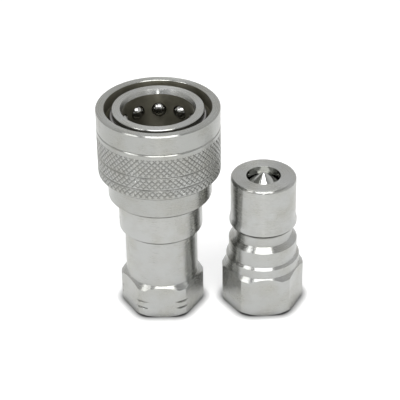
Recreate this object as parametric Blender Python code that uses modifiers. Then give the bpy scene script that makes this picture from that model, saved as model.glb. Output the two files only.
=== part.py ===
"""Quick disconnect coupler for 3/8 in hydraulic lines, as its two halves standing side by side.

The socket has the ball lock and the sliding sleeve, the nipple plugs into it, and each half has a sprung
poppet valve behind a female port. Sizes are in millimetres, heights are above the ports' end faces, and
an outline lists (radius, height) down the outer side of a turned piece and up its inner side."""

import math

import bmesh
import bpy
from mathutils import Matrix

MM = 0.001
ROUND = 36
SMALL_ROUND = 24

# The pair
SLEEVE_R = 17.55
HEX_ACROSS_FLATS = 22.0
SOCKET_HEX_CORNER_R = 12.15
NIPPLE_HEX_CORNER_R = 12.0
NIPPLE_HEX_TURN = math.radians(3)
AXIS_SPACING = 29.8
SOCKET_X = SLEEVE_R - (SLEEVE_R + AXIS_SPACING + NIPPLE_HEX_CORNER_R) / 2
NIPPLE_X = SOCKET_X + AXIS_SPACING

# Female port, the same in both halves
PORT_R = 7.5
PORT_MOUTH_R = 8.5
PORT_DEPTH = 13.2
PORT_FACE_R = 10.9
HEX_FOOT_H = 0.85

# Socket body
FACE_Z = 64.9
BODY_R = 13.05
MOUTH_R = 10.7
BORE_R = 10.15
BORE_END_Z = 52.6
SEAL_BORE_R = 9.6
SEAL_GROOVE_R = 11.6
SEAL_GROOVE_Z = (49.5, 46.0)
STOP_Z = 40.4
SOCKET_SEAT_R = 6.0
SOCKET_SEAT_Z = 38.8
SOCKET_CHAMBER_R = 9.2
SPRING_FLANGE_R = 14.15
SPRING_FLANGE_Z = (41.0, 38.0)
NECK_R = 12.14
NECK_END_Z = 26.2

# Joint between the socket body and its adapter
JOINT_THREAD_R = 9.5
THREAD_GAP = 0.15
JOINT_TOP_Z = 31.9
JOINT_ORING_SECTION = 0.9
JOINT_ORING_R = 9.95
JOINT_ORING_Z = 26.75

# Socket adapter
ADAPTER_R = 10.55
SOCKET_HEX_TOP_Z = 10.85
SOCKET_HEX_CORNER_Z = 9.55
CORNER_MARK_Z = (5.5, 3.4)
CORNER_MARK_WIDTH = 0.7
CORNER_MARK_DEPTH = 0.6
PASSAGE_R = 5.6
GUIDE_POCKET_R = 7.8
GUIDE_POCKET_Z = 22.0

# Locking sleeve, its ball lock and its spring
SLEEVE_TOP_Z = 65.4
SLEEVE_MOUTH_R = 15.18
SLEEVE_EDGE = 0.35
GRIP_TOP_Z = 59.4
GRIP_GROOVE_Z = (52.1, 48.2)
GRIP_TOP_LINE = 0.3
GRIP_GROOVE = 0.2
SLEEVE_STEP_Z = 44.9
SLEEVE_REAR_R = 14.95
SLEEVE_END_Z = 37.1
SPRING_ROOM_R = 14.25
SPRING_ROOM_TOP_Z = 54.5
LAND_R = 13.17
SLEEVE_TRAVEL = 4.0
BALL_COUNT = 10
BALL_D = 4.366
BALL_LOCKED_R = 11.06
BALL_TRAVEL = 1.08
BALL_Z = 58.6
BALL_GAP = 0.08
BALL_HOLE_R = 2.25
BALL_LIP_R = 2.15
SNAP_RING_WIRE = 1.5
SNAP_RING_R = 13.2
SNAP_RING_Z = 62.3
SNAP_GROOVE_R = 12.35
STOP_SHOULDER_Z = 61.45

# Nipple body
NIPPLE_TOP_Z = 42.2
TIP_R = 9.525
TIP_CHAMFER = 0.825
SHOULDER_R = 9.87
LOCK_GROOVE_R = 8.5
COLLAR_R = 10.0
REAR_COLLAR_R = 10.75
NIPPLE_HEX_TOP_Z = 13.2
NIPPLE_HEX_CORNER_Z = 12.0
NIPPLE_SEAT_R = 4.95
NIPPLE_SEAT_Z = 38.6
NIPPLE_CHAMBER_R = 6.9
GUIDE_RING_Z = 16.4
GUIDE_RING_WIRE = 1.0

# Valves, the same design in both halves. The poppet's cone runs SEAT_GAP inside the seat's, at 45 degrees.
SEAT_GAP = 0.42
SEAL_TO_SEAT = 0.085
VALVE_STEM_GAP = 0.15
SPOKE_WIDTH = 2.0


def collection(name):
    made = bpy.data.collections.new(name)
    bpy.context.scene.collection.children.link(made)
    return made


def clear_scene():
    for old in list(bpy.data.objects):
        bpy.data.objects.remove(old, do_unlink=True)


def material(name, colour, roughness, metallic=0.0):
    made = bpy.data.materials.new(name)
    made.use_nodes = True
    surface = made.node_tree.nodes["Principled BSDF"]
    surface.inputs["Base Color"].default_value = (*colour, 1)
    surface.inputs["Roughness"].default_value = roughness
    surface.inputs["Metallic"].default_value = metallic
    return made


clear_scene()
PARTS = collection("quick_disconnect_coupler")
CUTTERS = collection("cutters")
ZINC = material("zinc_plated_steel", (0.62, 0.63, 0.61), 0.3, 1.0)
BALL_STEEL = material("ball_steel", (0.75, 0.75, 0.76), 0.12, 1.0)
SPRING_STEEL = material("spring_steel", (0.42, 0.42, 0.44), 0.35, 1.0)
GUIDE_STEEL = material("guide_steel", (0.5, 0.51, 0.5), 0.4, 1.0)
RUBBER = material("nitrile_rubber", (0.02, 0.02, 0.022), 0.6)
PTFE = material("ptfe", (0.85, 0.84, 0.8), 0.5)


def axis_empty(name, x):
    """The empty on a half's axis that all of its pieces hang from."""
    empty = bpy.data.objects.new(name, None)
    empty.location.x = x * MM
    PARTS.objects.link(empty)
    return empty


SOCKET = axis_empty("socket_axis", SOCKET_X)
NIPPLE = axis_empty("nipple_axis", NIPPLE_X)


def place(obj, parent, finish=None, group=PARTS):
    obj.parent = parent
    group.objects.link(obj)
    if finish:
        obj.data.materials.append(finish)
    if group is CUTTERS:
        obj.hide_render = True
        obj.display_type = "WIRE"
    return obj


def turned(name, outline, parent, finish=None, segments=ROUND, group=PARTS):
    """A turned piece. The outline is closed into a ring unless it starts on the axis."""
    mesh = bpy.data.meshes.new(name)
    links = [(i, i + 1) for i in range(len(outline) - 1)]
    if outline[0][0] > 0:
        links.append((len(outline) - 1, 0))
    mesh.from_pydata([(r * MM, 0, z * MM) for r, z in outline], links, [])
    obj = place(bpy.data.objects.new(name, mesh), parent, finish, group)
    screw = obj.modifiers.new("turn", "SCREW")
    screw.steps = screw.render_steps = segments
    screw.use_merge_vertices = True
    screw.merge_threshold = 1e-6
    screw.use_smooth_shade = False
    return obj


def cut(obj, cutter):
    boolean = obj.modifiers.new("cut", "BOOLEAN")
    boolean.operation = "DIFFERENCE"
    if isinstance(cutter, bpy.types.Collection):
        boolean.operand_type = "COLLECTION"
        boolean.collection = cutter
    else:
        boolean.object = cutter


def hex_flats(name, parent, top, turn):
    """Cuts everything outside the hexagon below a height: an open hexagonal tube, thickened outwards."""
    mesh = bpy.data.meshes.new(name)
    shape = bmesh.new()
    corner_r = HEX_ACROSS_FLATS / math.sqrt(3) * MM
    low = 1.0 * MM
    bmesh.ops.create_cone(
        shape,
        segments=6,
        radius1=corner_r,
        radius2=corner_r,
        depth=top * MM + low,
        cap_ends=False,
    )
    first = shape.verts[:][0].co
    turn -= math.atan2(first.y, first.x)
    rise = Matrix.Translation((0, 0, (top * MM - low) / 2))
    bmesh.ops.transform(shape, matrix=rise @ Matrix.Rotation(turn, 4, "Z"), verts=shape.verts)
    shape.to_mesh(mesh)
    shape.free()
    obj = place(bpy.data.objects.new(name, mesh), parent, group=CUTTERS)
    wall = obj.modifiers.new("wall", "SOLIDIFY")
    wall.thickness = 5 * MM
    wall.offset = 1
    wall.use_even_offset = True
    return obj


def torus(name, parent, finish, major, section, z, segments=ROUND):
    """An O-ring."""
    bpy.ops.mesh.primitive_torus_add(
        major_segments=segments,
        minor_segments=6,
        major_radius=major * MM,
        minor_radius=section / 2 * MM,
        location=(0, 0, z * MM),
    )
    obj = bpy.context.object
    obj.name = name
    for old in list(obj.users_collection):
        old.objects.unlink(obj)
    return place(obj, parent, finish)


def wire(name, parent, finish, points, diameter):
    """A round wire through these points, in millimetres."""
    curve = bpy.data.curves.new(name, "CURVE")
    curve.dimensions = "3D"
    curve.bevel_depth = diameter / 2 * MM
    curve.bevel_resolution = 2
    curve.use_fill_caps = True
    line = curve.splines.new("POLY")
    line.points.add(len(points) - 1)
    for point, (x, y, z) in zip(line.points, points):
        point.co = (x * MM, y * MM, z * MM, 1)
    return place(bpy.data.objects.new(name, curve), parent, finish)


def snap_ring(name, parent, radius, diameter, z, opening, facing):
    """A ring of round wire, open by an angle in degrees that faces the given direction."""
    steps = 36
    start = facing + opening / 2
    angles = [math.radians(start + (360 - opening) * i / steps) for i in range(steps + 1)]
    points = [(radius * math.cos(a), radius * math.sin(a), z) for a in angles]
    return wire(name, parent, SPRING_STEEL, points, diameter)


def coil_spring(name, parent, radius, diameter, bottom, top, turns, per_turn):
    """A compression spring whose first and last turns lie closed."""
    low = bottom + diameter / 2
    high = top - diameter / 2
    closed = diameter * 1.12
    pitch = (high - low - 2 * closed) / (turns - 2)
    points = []
    for i in range(round(turns * per_turn) + 1):
        turn = i / per_turn
        if turn < 1:
            z = low + closed * turn
        elif turn > turns - 1:
            z = high - closed * (turns - turn)
        else:
            z = low + closed + pitch * (turn - 1)
        angle = 2 * math.pi * turn
        points.append((radius * math.cos(angle), radius * math.sin(angle), z))
    return wire(name, parent, SPRING_STEEL, points, diameter)


def port_outline(corner_r):
    """The end face and female port, from the hexagon's foot up to the port's end."""
    return [
        (corner_r, HEX_FOOT_H),
        (PORT_FACE_R, 0),
        (PORT_MOUTH_R, 0),
        (PORT_R, PORT_MOUTH_R - PORT_R),
        (PORT_R, PORT_DEPTH),
    ]


def ball_holes():
    """Radial holes that end in a lip at the bore, so that a ball can't fall through."""
    holes = bpy.data.collections.new("ball_holes")
    CUTTERS.children.link(holes)
    outer_end, lip_start, inner_end = BODY_R + 1, BORE_R + 0.45, BORE_R - 1
    outline = [
        (0, outer_end),
        (BALL_HOLE_R, outer_end),
        (BALL_HOLE_R, lip_start),
        (BALL_LIP_R, lip_start - 0.5),
        (BALL_LIP_R, inner_end),
        (0, inner_end),
    ]
    for number in range(BALL_COUNT):
        hole = turned(f"ball_hole_{number + 1:02d}", outline, SOCKET, segments=12, group=CUTTERS)
        CUTTERS.objects.unlink(hole)
        holes.objects.link(hole)
        hole.location.z = BALL_Z * MM
        hole.rotation_euler = (0, math.pi / 2, ball_angle(number))
    return holes


def ball_angle(number):
    return math.pi / 2 + 2 * math.pi * number / BALL_COUNT


def socket_body():
    edge = 0.45
    outer = [
        (MOUTH_R, FACE_Z),
        (BODY_R - edge, FACE_Z),
        (BODY_R, FACE_Z - edge),
        (BODY_R, SNAP_RING_Z + 0.85),
        (SNAP_GROOVE_R, SNAP_RING_Z + 0.85),
        (SNAP_GROOVE_R, SNAP_RING_Z - 0.9),
        (BODY_R, SNAP_RING_Z - 0.9),
        (BODY_R, SPRING_FLANGE_Z[0]),
        (SPRING_FLANGE_R, SPRING_FLANGE_Z[0]),
        (SPRING_FLANGE_R, SPRING_FLANGE_Z[1]),
        (NECK_R, SPRING_FLANGE_Z[1]),
        (NECK_R, NECK_END_Z + edge),
        (NECK_R - edge, NECK_END_Z),
    ]
    thread_r = JOINT_THREAD_R + THREAD_GAP
    oring_room_r = JOINT_ORING_R + JOINT_ORING_SECTION / 2 + 0.1
    oring_room_z = JOINT_ORING_Z + JOINT_ORING_SECTION / 2 + 0.15
    chamber_z = SOCKET_SEAT_Z - (SOCKET_CHAMBER_R - SOCKET_SEAT_R)
    inner = [
        (oring_room_r, NECK_END_Z),
        (oring_room_r, oring_room_z),
        (thread_r, oring_room_z),
        (thread_r, JOINT_TOP_Z),
        (SOCKET_CHAMBER_R, JOINT_TOP_Z),
        (SOCKET_CHAMBER_R, chamber_z),
        (SOCKET_SEAT_R, SOCKET_SEAT_Z),
        (SOCKET_SEAT_R, STOP_Z),
        (SEAL_BORE_R, STOP_Z),
        (SEAL_BORE_R, SEAL_GROOVE_Z[1]),
        (SEAL_GROOVE_R, SEAL_GROOVE_Z[1]),
        (SEAL_GROOVE_R, SEAL_GROOVE_Z[0]),
        (SEAL_BORE_R, SEAL_GROOVE_Z[0]),
        (SEAL_BORE_R, BORE_END_Z - 0.6),
        (BORE_R, BORE_END_Z),
        (BORE_R, FACE_Z - 1.3),
    ]
    body = turned("socket_body", outer + inner, SOCKET, ZINC)
    cut(body, ball_holes())


def socket_adapter():
    edge = 0.4
    shoulder_z = NECK_END_Z - 0.1
    end_z = JOINT_TOP_Z - 0.2
    thread_r = JOINT_THREAD_R - THREAD_GAP
    outline = [
        (thread_r - edge, end_z),
        (thread_r, end_z - edge),
        (thread_r, shoulder_z),
        (ADAPTER_R - edge, shoulder_z),
        (ADAPTER_R, shoulder_z - edge),
        (ADAPTER_R, SOCKET_HEX_TOP_Z),
        (SOCKET_HEX_CORNER_R, SOCKET_HEX_CORNER_Z),
    ]
    for z in CORNER_MARK_Z:
        outline += [
            (SOCKET_HEX_CORNER_R, z + CORNER_MARK_WIDTH / 2),
            (SOCKET_HEX_CORNER_R - CORNER_MARK_DEPTH, z),
            (SOCKET_HEX_CORNER_R, z - CORNER_MARK_WIDTH / 2),
        ]
    outline += port_outline(SOCKET_HEX_CORNER_R)
    outline += [
        (PASSAGE_R, PORT_DEPTH + 1),
        (PASSAGE_R, GUIDE_POCKET_Z),
        (GUIDE_POCKET_R, GUIDE_POCKET_Z),
        (GUIDE_POCKET_R, end_z),
    ]
    adapter = turned("socket_adapter", outline, SOCKET, ZINC)
    cut(adapter, hex_flats("socket_hex_flats", SOCKET, SOCKET_HEX_TOP_Z + 1, 0))


def locking_sleeve():
    """The sleeve. Its cone keeps BALL_GAP to the balls as they spread while it is drawn back."""
    slope = BALL_TRAVEL / SLEEVE_TRAVEL
    cone_r = BALL_LOCKED_R + (BALL_D / 2 + BALL_GAP) * math.hypot(1, slope)
    land_top_z = BALL_Z - (cone_r - LAND_R) / slope
    cone_top_r = cone_r + (STOP_SHOULDER_Z - BALL_Z) * slope
    step_edge, end_edge = 0.5, 0.3
    outer = [
        (SLEEVE_MOUTH_R + SLEEVE_EDGE, SLEEVE_TOP_Z),
        (SLEEVE_R - SLEEVE_EDGE, SLEEVE_TOP_Z),
        (SLEEVE_R, SLEEVE_TOP_Z - SLEEVE_EDGE),
    ]
    grooves = [(GRIP_TOP_Z, GRIP_TOP_LINE)] + [(z, GRIP_GROOVE) for z in GRIP_GROOVE_Z]
    for z, size in grooves:
        outer += [(SLEEVE_R, z + size), (SLEEVE_R - size, z), (SLEEVE_R, z - size)]
    outer += [
        (SLEEVE_R, SLEEVE_STEP_Z + step_edge),
        (SLEEVE_R - step_edge, SLEEVE_STEP_Z),
        (SLEEVE_REAR_R, SLEEVE_STEP_Z),
        (SLEEVE_REAR_R, SLEEVE_END_Z + end_edge),
        (SLEEVE_REAR_R - end_edge, SLEEVE_END_Z),
    ]
    inner = [
        (SPRING_ROOM_R, SLEEVE_END_Z),
        (SPRING_ROOM_R, SPRING_ROOM_TOP_Z),
        (LAND_R, SPRING_ROOM_TOP_Z),
        (LAND_R, land_top_z),
        (cone_top_r, STOP_SHOULDER_Z),
        (SLEEVE_MOUTH_R, STOP_SHOULDER_Z),
        (SLEEVE_MOUTH_R, SLEEVE_TOP_Z - SLEEVE_EDGE),
    ]
    turned("locking_sleeve", outer + inner, SOCKET, ZINC)


def locking_balls():
    for number in range(BALL_COUNT):
        name = f"locking_ball_{number + 1:02d}"
        mesh = bpy.data.meshes.new(name)
        shape = bmesh.new()
        bmesh.ops.create_uvsphere(shape, u_segments=12, v_segments=6, radius=BALL_D / 2 * MM)
        shape.to_mesh(mesh)
        shape.free()
        ball = place(bpy.data.objects.new(name, mesh), SOCKET, BALL_STEEL)
        angle = ball_angle(number)
        ball.location = (
            BALL_LOCKED_R * math.cos(angle) * MM,
            BALL_LOCKED_R * math.sin(angle) * MM,
            BALL_Z * MM,
        )
        ball.rotation_euler.z = angle


def sleeve_hardware():
    snap_ring(
        "sleeve_snap_ring",
        SOCKET,
        radius=SNAP_RING_R,
        diameter=SNAP_RING_WIRE,
        z=SNAP_RING_Z,
        opening=14,
        facing=162,
    )
    coil_spring(
        "sleeve_spring",
        SOCKET,
        radius=13.65,
        diameter=0.9,
        bottom=SPRING_FLANGE_Z[0] + 0.1,
        top=SPRING_ROOM_TOP_Z - 0.1,
        turns=5.5,
        per_turn=28,
    )


def socket_seals():
    torus("interface_oring", SOCKET, RUBBER, major=10.4, section=2.1, z=47.2)
    low, high = SEAL_GROOVE_Z[0] - 1.05, SEAL_GROOVE_Z[0] - 0.15
    inner_r, outer_r = SEAL_BORE_R + 0.08, SEAL_GROOVE_R - 0.15
    ring = [(inner_r, high), (outer_r, high), (outer_r, low), (inner_r, low)]
    turned("backup_ring", ring, SOCKET, PTFE)
    torus("body_joint_oring", SOCKET, RUBBER, JOINT_ORING_R, JOINT_ORING_SECTION, JOINT_ORING_Z)


def valve_poppet(name, parent, seat_r, seat_z, nose, groove, head_r, head_z, stem_r, stem_z):
    """A poppet: its nose, its 45 degree cone with the seal's groove, its head and its stem.

    nose is (tip radius, tip height, side radius, side height), and groove is (top, bottom, radius)."""
    tip_r, tip_z, side_r, side_z = nose
    groove_top, groove_bottom, groove_r = groove
    cone = seat_r + seat_z - SEAT_GAP
    outline = [
        (0, tip_z),
        (tip_r, tip_z),
        (side_r, side_z),
        (side_r, cone - side_r),
        (cone - groove_top, groove_top),
        (groove_r, groove_top),
        (groove_r, groove_bottom),
        (cone - groove_bottom, groove_bottom),
        (head_r, cone - head_r),
        (head_r, head_z),
        (stem_r, head_z),
        (stem_r, stem_z),
        (0, stem_z),
    ]
    turned(name, outline, parent, GUIDE_STEEL, SMALL_ROUND)
    seat = seat_r + seat_z - SEAL_TO_SEAT
    top, bottom, inner_r = groove_top - 0.1, groove_bottom + 0.1, groove_r + 0.1
    seal = [(inner_r, top), (seat - top, top), (seat - bottom, bottom), (inner_r, bottom)]
    turned(name + "_seal", seal, parent, RUBBER, SMALL_ROUND)


def valve_guide(name, parent, rim_r, rim_z, hub_r, hub_z, stem_r, slots_r):
    """A disc that centres the stem in its hub, with three long slots for the flow between its spokes."""
    bore_r = stem_r + VALVE_STEM_GAP
    outline = [
        (bore_r, hub_z[0]),
        (hub_r, hub_z[0]),
        (hub_r, rim_z[0]),
        (rim_r, rim_z[0]),
        (rim_r, rim_z[1]),
        (hub_r, rim_z[1]),
        (hub_r, hub_z[1]),
        (bore_r, hub_z[1]),
    ]
    guide = turned(name, outline, parent, GUIDE_STEEL, SMALL_ROUND)
    above, below = rim_z[0] + 1, rim_z[1] - 1
    slot = [(slots_r[0], above), (slots_r[1], above), (slots_r[1], below), (slots_r[0], below)]
    slots = turned(name + "_slots", slot, parent, None, SMALL_ROUND, CUTTERS)
    for number in range(3):
        angle = 2 * math.pi * number / 3
        cut(slots, spoke(f"{name}_spoke_{number + 1}", parent, slots_r[1], above, below, angle))
    cut(guide, slots)


def spoke(name, parent, reach, top, bottom, angle):
    """The bar that interrupts a guide's round slot, from its axis outwards."""
    mesh = bpy.data.meshes.new(name)
    shape = bmesh.new()
    bmesh.ops.create_cube(shape, size=1)
    size = Matrix.Diagonal(((reach + 1) * MM, SPOKE_WIDTH * MM, (top - bottom + 2) * MM, 1))
    out = Matrix.Translation(((reach + 1) / 2 * MM, 0, (top + bottom) / 2 * MM))
    bmesh.ops.transform(shape, matrix=Matrix.Rotation(angle, 4, "Z") @ out @ size, verts=shape.verts)
    shape.to_mesh(mesh)
    shape.free()
    return place(bpy.data.objects.new(name, mesh), parent, group=CUTTERS)


def socket_valve():
    head_z, stem_r = 35.0, 2.6
    valve_poppet(
        "socket_poppet",
        SOCKET,
        SOCKET_SEAT_R,
        SOCKET_SEAT_Z,
        nose=(0.8, 44.3, 4.6, 41.1),
        groove=(38.1, 36.9, 5.7),
        head_r=8.2,
        head_z=head_z,
        stem_r=stem_r,
        stem_z=19.5,
    )
    low = GUIDE_POCKET_Z + 0.1
    valve_guide(
        "socket_valve_guide",
        SOCKET,
        rim_r=7.6,
        rim_z=(low + 2, low),
        hub_r=3.6,
        hub_z=(26.5, 20.5),
        stem_r=stem_r,
        slots_r=(5.3, 7.0),
    )
    coil_spring("socket_poppet_spring", SOCKET, 4.6, 1.0, low + 2.1, head_z - 0.1, turns=5.5, per_turn=12)


def nipple_body():
    outline = [
        (NIPPLE_SEAT_R, NIPPLE_TOP_Z),
        (TIP_R - TIP_CHAMFER, NIPPLE_TOP_Z),
        (TIP_R, NIPPLE_TOP_Z - TIP_CHAMFER),
        (TIP_R, 29.7),
        (SHOULDER_R, 28.1),
        (SHOULDER_R, 26.9),
        (LOCK_GROOVE_R + 0.1, 26.1),
        (LOCK_GROOVE_R, 25.6),
        (LOCK_GROOVE_R, 22.8),
        (COLLAR_R, 21.4),
        (COLLAR_R, 16.6),
        (REAR_COLLAR_R, 15.95),
        (REAR_COLLAR_R, NIPPLE_HEX_TOP_Z),
        (NIPPLE_HEX_CORNER_R, NIPPLE_HEX_CORNER_Z),
    ]
    outline += port_outline(NIPPLE_HEX_CORNER_R)
    chamber_z = NIPPLE_SEAT_Z - (NIPPLE_CHAMBER_R - NIPPLE_SEAT_R)
    ring_r = NIPPLE_CHAMBER_R + 0.5
    outline += [
        (NIPPLE_CHAMBER_R, PORT_DEPTH + PORT_R - NIPPLE_CHAMBER_R),
        (NIPPLE_CHAMBER_R, GUIDE_RING_Z - 0.55),
        (ring_r, GUIDE_RING_Z - 0.55),
        (ring_r, GUIDE_RING_Z + 0.55),
        (NIPPLE_CHAMBER_R, GUIDE_RING_Z + 0.55),
        (NIPPLE_CHAMBER_R, chamber_z),
        (NIPPLE_SEAT_R, NIPPLE_SEAT_Z),
    ]
    body = turned("nipple_body", outline, NIPPLE, ZINC)
    cut(body, hex_flats("nipple_hex_flats", NIPPLE, NIPPLE_HEX_TOP_Z + 1, NIPPLE_HEX_TURN))


def nipple_valve():
    head_z, stem_r = 36.0, 2.15
    valve_poppet(
        "nipple_poppet",
        NIPPLE,
        NIPPLE_SEAT_R,
        NIPPLE_SEAT_Z,
        nose=(0.4, 43.1, 4.3, 39.83),
        groove=(38.2, 37.4, 4.2),
        head_r=6.1,
        head_z=head_z,
        stem_r=stem_r,
        stem_z=15.2,
    )
    low = GUIDE_RING_Z + GUIDE_RING_WIRE / 2 + 0.1
    valve_guide(
        "nipple_valve_guide",
        NIPPLE,
        rim_r=6.72,
        rim_z=(low + 2, low),
        hub_r=3.0,
        hub_z=(22.0, 15.8),
        stem_r=stem_r,
        slots_r=(4.7, 6.1),
    )
    coil_spring("nipple_poppet_spring", NIPPLE, 4.0, 0.9, low + 2.1, head_z - 0.1, turns=7.5, per_turn=12)
    snap_ring("nipple_guide_ring", NIPPLE, 6.8, GUIDE_RING_WIRE, GUIDE_RING_Z, 40, 90)


socket_body()
socket_adapter()
locking_sleeve()
locking_balls()
sleeve_hardware()
socket_seals()
socket_valve()
nipple_body()
nipple_valve()
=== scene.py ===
"""Looks of the quick disconnect coupler: fine turned, knurled, threaded and coiled pieces in plated steel.

Sizes are in millimetres above the ports' end faces, and each piece is made about its own half's axis. An
outline lists (radius, height) down the outer side of a turned piece and up its inner side."""

import math

import bmesh
import bpy
import numpy as np
from mathutils import Matrix, Vector

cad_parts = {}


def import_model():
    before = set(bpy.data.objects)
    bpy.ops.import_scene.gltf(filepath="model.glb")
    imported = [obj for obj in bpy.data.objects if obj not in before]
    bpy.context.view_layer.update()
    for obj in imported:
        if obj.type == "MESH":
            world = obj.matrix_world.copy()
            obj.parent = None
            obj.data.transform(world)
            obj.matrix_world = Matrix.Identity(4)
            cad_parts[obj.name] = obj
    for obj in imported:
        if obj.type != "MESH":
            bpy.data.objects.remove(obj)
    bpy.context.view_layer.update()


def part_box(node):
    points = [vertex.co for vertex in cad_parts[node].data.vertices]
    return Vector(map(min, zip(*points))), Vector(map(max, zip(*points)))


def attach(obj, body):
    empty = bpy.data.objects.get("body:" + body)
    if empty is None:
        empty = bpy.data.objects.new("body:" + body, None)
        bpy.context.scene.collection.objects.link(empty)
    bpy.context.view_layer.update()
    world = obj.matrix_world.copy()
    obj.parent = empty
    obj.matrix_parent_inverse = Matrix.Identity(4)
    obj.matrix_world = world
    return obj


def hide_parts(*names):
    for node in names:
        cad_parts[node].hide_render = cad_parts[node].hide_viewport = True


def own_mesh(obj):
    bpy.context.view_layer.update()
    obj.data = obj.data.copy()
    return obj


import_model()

MM = 0.001

# How finely round shapes are made, and the rounds at their edges
SEGMENTS = 192
VALVE_SEGMENTS = 128
HOLE_SEGMENTS = 48
RING_STEPS = 96
COIL_STEPS = 48
WIRE_SIDES = 16
EDGE = 0.1
SOFT_EDGE = 0.08
EDGE_SHARE = 0.42
ARC_STEP = math.radians(15)

# The camera
VIEW_AIM = (-0.675, 0, 34.0)
VIEW_DISTANCE = 452.9
VIEW_TILT = math.radians(32.485)
VIEW_ROLL = math.radians(-0.712)
VIEW_LENS = 140.5

# The light, with lengths in metres: radiance of the tent, where its opening and its ceiling begin, and
# the floor's glow and its painted contact shadow
TENT_WALL = 0.86
TENT_TOP = 0.35
TENT_OPENING = (0, -0.82, 0.57)
TENT_DARK = 0.08
TENT_OPENING_EDGE = (math.cos(math.radians(26)), math.cos(math.radians(17)))
TENT_CEILING_EDGE = (math.sin(math.radians(40)), math.sin(math.radians(70)))
FLOOR_HALF = 3.0
FLOOR_GLOW = 0.3
FLOOR_GLOW_END = (0.13, 0.36)
CONTACT_REACH = 0.0027
CONTACT_DEPTH = 1.8
LIGHTS_AIM = Vector((0, 0, 0.035))

# Painted shade on metal, on slopes that face down and in grooves: its colour, and the height of the surface's
# normal where the slopes are painted
PAINTED_SHADE_COLOUR = (0.035, 0.034, 0.028)
UNDERSIDE_SHADE_SLOPE = (-0.04, -0.3)
UNDERSIDE_SHADE_LEVEL = (-0.9, -0.98)
UNDERSIDE_SHADE_SHARE = 0.85

# The hexagons and the female ports
HEX_ACROSS_FLATS = 22.0
SOCKET_HEX_CORNER_R = 12.15
NIPPLE_HEX_CORNER_R = 12.0
NIPPLE_HEX_TURN = math.radians(3)
PORT_R = 7.5
PORT_MOUTH_R = 8.5
PORT_DEPTH = 13.2
PORT_FACE_R = 10.9
PORT_RELIEF = 0.6
PORT_CONE = 1.0
HEX_FOOT_H = 0.85
THREAD_PITCH = 1.337
THREAD_DEPTH = 0.72
THREAD_START_Z = 0.9
THREAD_END_Z = 11.8
THREAD_ROWS = 10

# Socket body
FACE_Z = 64.9
BODY_R = 13.05
MOUTH_R = 10.7
MOUTH_DEPTH = 1.3
BORE_R = 10.15
BORE_END_Z = 52.6
BORE_LEAD = 0.6
SEAL_BORE_R = 9.6
SEAL_GROOVE_R = 11.6
SEAL_GROOVE_Z = (49.5, 46.0)
STOP_Z = 40.4
SOCKET_SEAT_R = 6.0
SOCKET_SEAT_Z = 38.8
SOCKET_CHAMBER_R = 9.2
SPRING_FLANGE_R = 14.15
SPRING_FLANGE_Z = (41.0, 38.0)
NECK_R = 12.14
NECK_END_Z = 26.2
NECK_END_EDGE = 0.8
JOINT_THREAD_R = 9.5
THREAD_GAP = 0.15
JOINT_TOP_Z = 31.9
JOINT_ORING_SECTION = 0.9
JOINT_ORING_R = 9.95
JOINT_ORING_Z = 26.75
JOINT_ORING_GAP = (0.1, 0.15)
JOINT_SHOULDER_GAP = 0.1
JOINT_END_GAP = 0.2
INTERFACE_ORING_SECTION = 2.1
INTERFACE_ORING_R = 10.4
INTERFACE_ORING_Z = 47.2
BACKUP_RING_R = (9.68, 11.45)
BACKUP_RING_Z = (49.35, 48.45)

# Socket adapter
ADAPTER_R = 10.55
SOCKET_HEX_TOP_Z = 10.85
SOCKET_HEX_CORNER_Z = 9.55
CORNER_MARK_Z = (5.5, 3.4)
CORNER_MARK_WIDTH = 0.7
CORNER_MARK_DEPTH = 0.55
PASSAGE_R = 5.6
GUIDE_POCKET_R = 7.8
GUIDE_POCKET_Z = 22.0

# Locking sleeve, its grip, its ball lock and its spring
SLEEVE_R = 17.55
SLEEVE_TOP_Z = 65.4
SLEEVE_MOUTH_R = 15.18
GRIP_TOP_Z = 59.4
GRIP_TOP_LINE = 0.3
GRIP_GROOVE_Z = (52.1, 48.2)
GRIP_GROOVE = 0.2
GRIP_LAND = 0.14
GRIP_GROOVE_DEPTH = 0.24
GRIP_GROOVE_TOP = 0.16
SLEEVE_EDGE = 0.35
SLEEVE_MOUTH_EDGE = 0.2
SLEEVE_STEP_Z = 44.9
SLEEVE_STEP_EDGE = 0.5
SLEEVE_REAR_R = 14.95
SLEEVE_END_Z = 37.1
SLEEVE_END_EDGE = 0.68
SPRING_ROOM_R = 14.25
SPRING_ROOM_TOP_Z = 54.5
LAND_R = 13.17
STOP_SHOULDER_Z = 61.45
KNURLS = 66
KNURL_STEPS = 12
KNURL_RISE = 1.74
KNURL_DEPTH = 0.25
KNURL_PROUD = 0.04
KNURL_HALF_WIDTH = 0.18
KNURL_FADE = 0.12
KNURL_TOP_Z = GRIP_TOP_Z - 1.1
KNURL_END_Z = SLEEVE_STEP_Z + 0.4
SLEEVE_TRAVEL = 4.0
BALL_COUNT = 10
BALL_D = 4.366
BALL_LOCKED_R = 11.06
BALL_TRAVEL = 1.08
BALL_Z = 58.6
BALL_GAP = 0.08
BALL_HOLE_R = 2.25
BALL_LIP_R = 2.15
SNAP_RING_WIRE = 1.5
SNAP_RING_R = 13.2
SNAP_RING_Z = 62.3
SNAP_GROOVE_R = 12.35
SNAP_GROOVE_Z = (63.15, 61.4)

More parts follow.
